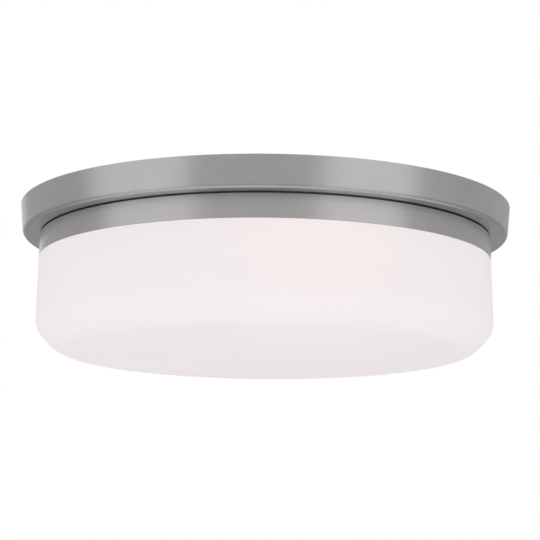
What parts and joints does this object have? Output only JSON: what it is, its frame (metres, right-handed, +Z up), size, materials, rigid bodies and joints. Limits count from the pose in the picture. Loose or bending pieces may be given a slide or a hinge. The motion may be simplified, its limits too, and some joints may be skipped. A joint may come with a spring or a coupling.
{
  "type": "flush-mount ceiling light",
  "caption": "Round flush-mount ceiling light: brushed-nickel pan and ring, twist-lock opal glass drum with a rounded lower edge, screw-in bulbs in porcelain sockets inside.",
  "frame": {"origin": "on the fixture's axis in the ceiling plane, midway between the crossbar's slots", "axes": "+Z up into the ceiling, +X along the crossbar, one lamp points along -Y"},
  "size_m": [0.3999, 0.4, 0.1295],
  "materials": {
    "brushed_nickel": "satin, brushed round the axis",
    "opal_glass": "satin opal",
    "zinc_steel": "zinc plated",
    "green_steel": "green plated",
    "brass": "plain",
    "green_vinyl": "satin",
    "black_vinyl": "satin",
    "white_vinyl": "satin",
    "glass_fibre": "fibrous mat",
    "black_nylon": "moulded",
    "orange_plastic": "moulded",
    "porcelain": "glazed white",
    "frosted_glass": "frosted inside",
    "bulb_cap_metal": "rolled thread",
    "black_insulator": "glassy black",
    "solder": "dull"
  },
  "bodies": {
    "fixture": {"ceiling_pan": "brushed_nickel", "glass_ring": "brushed_nickel", "crossbar": "zinc_steel", "hanger_screws": "zinc_steel", "hanger_lock_nuts": "zinc_steel", "hanger_cap_nuts": "brushed_nickel", "ground_screws": "green_steel", "ground_terminals": "brass", "ground_lead": "green_vinyl", "insulation_pad": "glass_fibre", "ring_rivets": "zinc_steel", "lock_clips": "zinc_steel", "bracket_rivets": "zinc_steel", "socket_screws": "zinc_steel", "lead_bushing": "black_nylon", "splice_cap_hot": "orange_plastic", "splice_cap_neutral": "orange_plastic", "hot_leads": "black_vinyl", "neutral_leads": "white_vinyl", "socket_1_bracket": "zinc_steel", "socket_1_body": "porcelain", "socket_1_shell": "brass", "socket_1_contact": "brass", "socket_2_bracket": "zinc_steel", "socket_2_body": "porcelain", "socket_2_shell": "brass", "socket_2_contact": "brass", "socket_3_bracket": "zinc_steel", "socket_3_body": "porcelain", "socket_3_shell": "brass", "socket_3_contact": "brass"},
    "glass": {"glass_shade": "opal_glass"},
    "bulb_1_point": {"bulb_1_tip": "solder"},
    "bulb_1": {"bulb_1_envelope": "frosted_glass", "bulb_1_base": "bulb_cap_metal", "bulb_1_insulator": "black_insulator"},
    "bulb_2_point": {"bulb_2_tip": "solder"},
    "bulb_2": {"bulb_2_envelope": "frosted_glass", "bulb_2_base": "bulb_cap_metal", "bulb_2_insulator": "black_insulator"},
    "bulb_3_point": {"bulb_3_tip": "solder"},
    "bulb_3": {"bulb_3_envelope": "frosted_glass", "bulb_3_base": "bulb_cap_metal", "bulb_3_insulator": "black_insulator"}
  },
  "joints": [
    {"name": "glass_twist", "type": "hinge", "parent": "fixture", "child": "glass", "pos_m": [0, 0, -0.034], "axis": [0, 0, -1], "range_deg": [0, 30]},
    {"name": "bulb_1_travel", "type": "slide", "parent": "fixture", "child": "bulb_1_point", "axis": [0, -1, 0], "range_m": [0, 0.01633]},
    {"name": "bulb_1_turn", "type": "hinge", "parent": "bulb_1_point", "child": "bulb_1", "pos_m": [0, -0.08, -0.0648], "axis": [0, -1, 0], "range_deg": [0, 1620]},
    {"name": "bulb_2_travel", "type": "slide", "parent": "fixture", "child": "bulb_2_point", "axis": [0.866, 0.5, 0], "range_m": [0, 0.01633]},
    {"name": "bulb_2_turn", "type": "hinge", "parent": "bulb_2_point", "child": "bulb_2", "pos_m": [0.06928, 0.04, -0.0648], "axis": [0.866, 0.5, 0], "range_deg": [0, 1620]},
    {"name": "bulb_3_travel", "type": "slide", "parent": "fixture", "child": "bulb_3_point", "axis": [-0.866, 0.5, 0], "range_m": [0, 0.01633]},
    {"name": "bulb_3_turn", "type": "hinge", "parent": "bulb_3_point", "child": "bulb_3", "pos_m": [-0.06928, 0.04, -0.0648], "axis": [-0.866, 0.5, 0], "range_deg": [0, 1620]}
  ],
  "couplings": [
    {"joint": "bulb_1_turn", "follows": "bulb_1_travel", "rad_per_m": 1731.4},
    {"joint": "bulb_2_turn", "follows": "bulb_2_travel", "rad_per_m": 1731.4},
    {"joint": "bulb_3_turn", "follows": "bulb_3_travel", "rad_per_m": 1731.4}
  ]
}
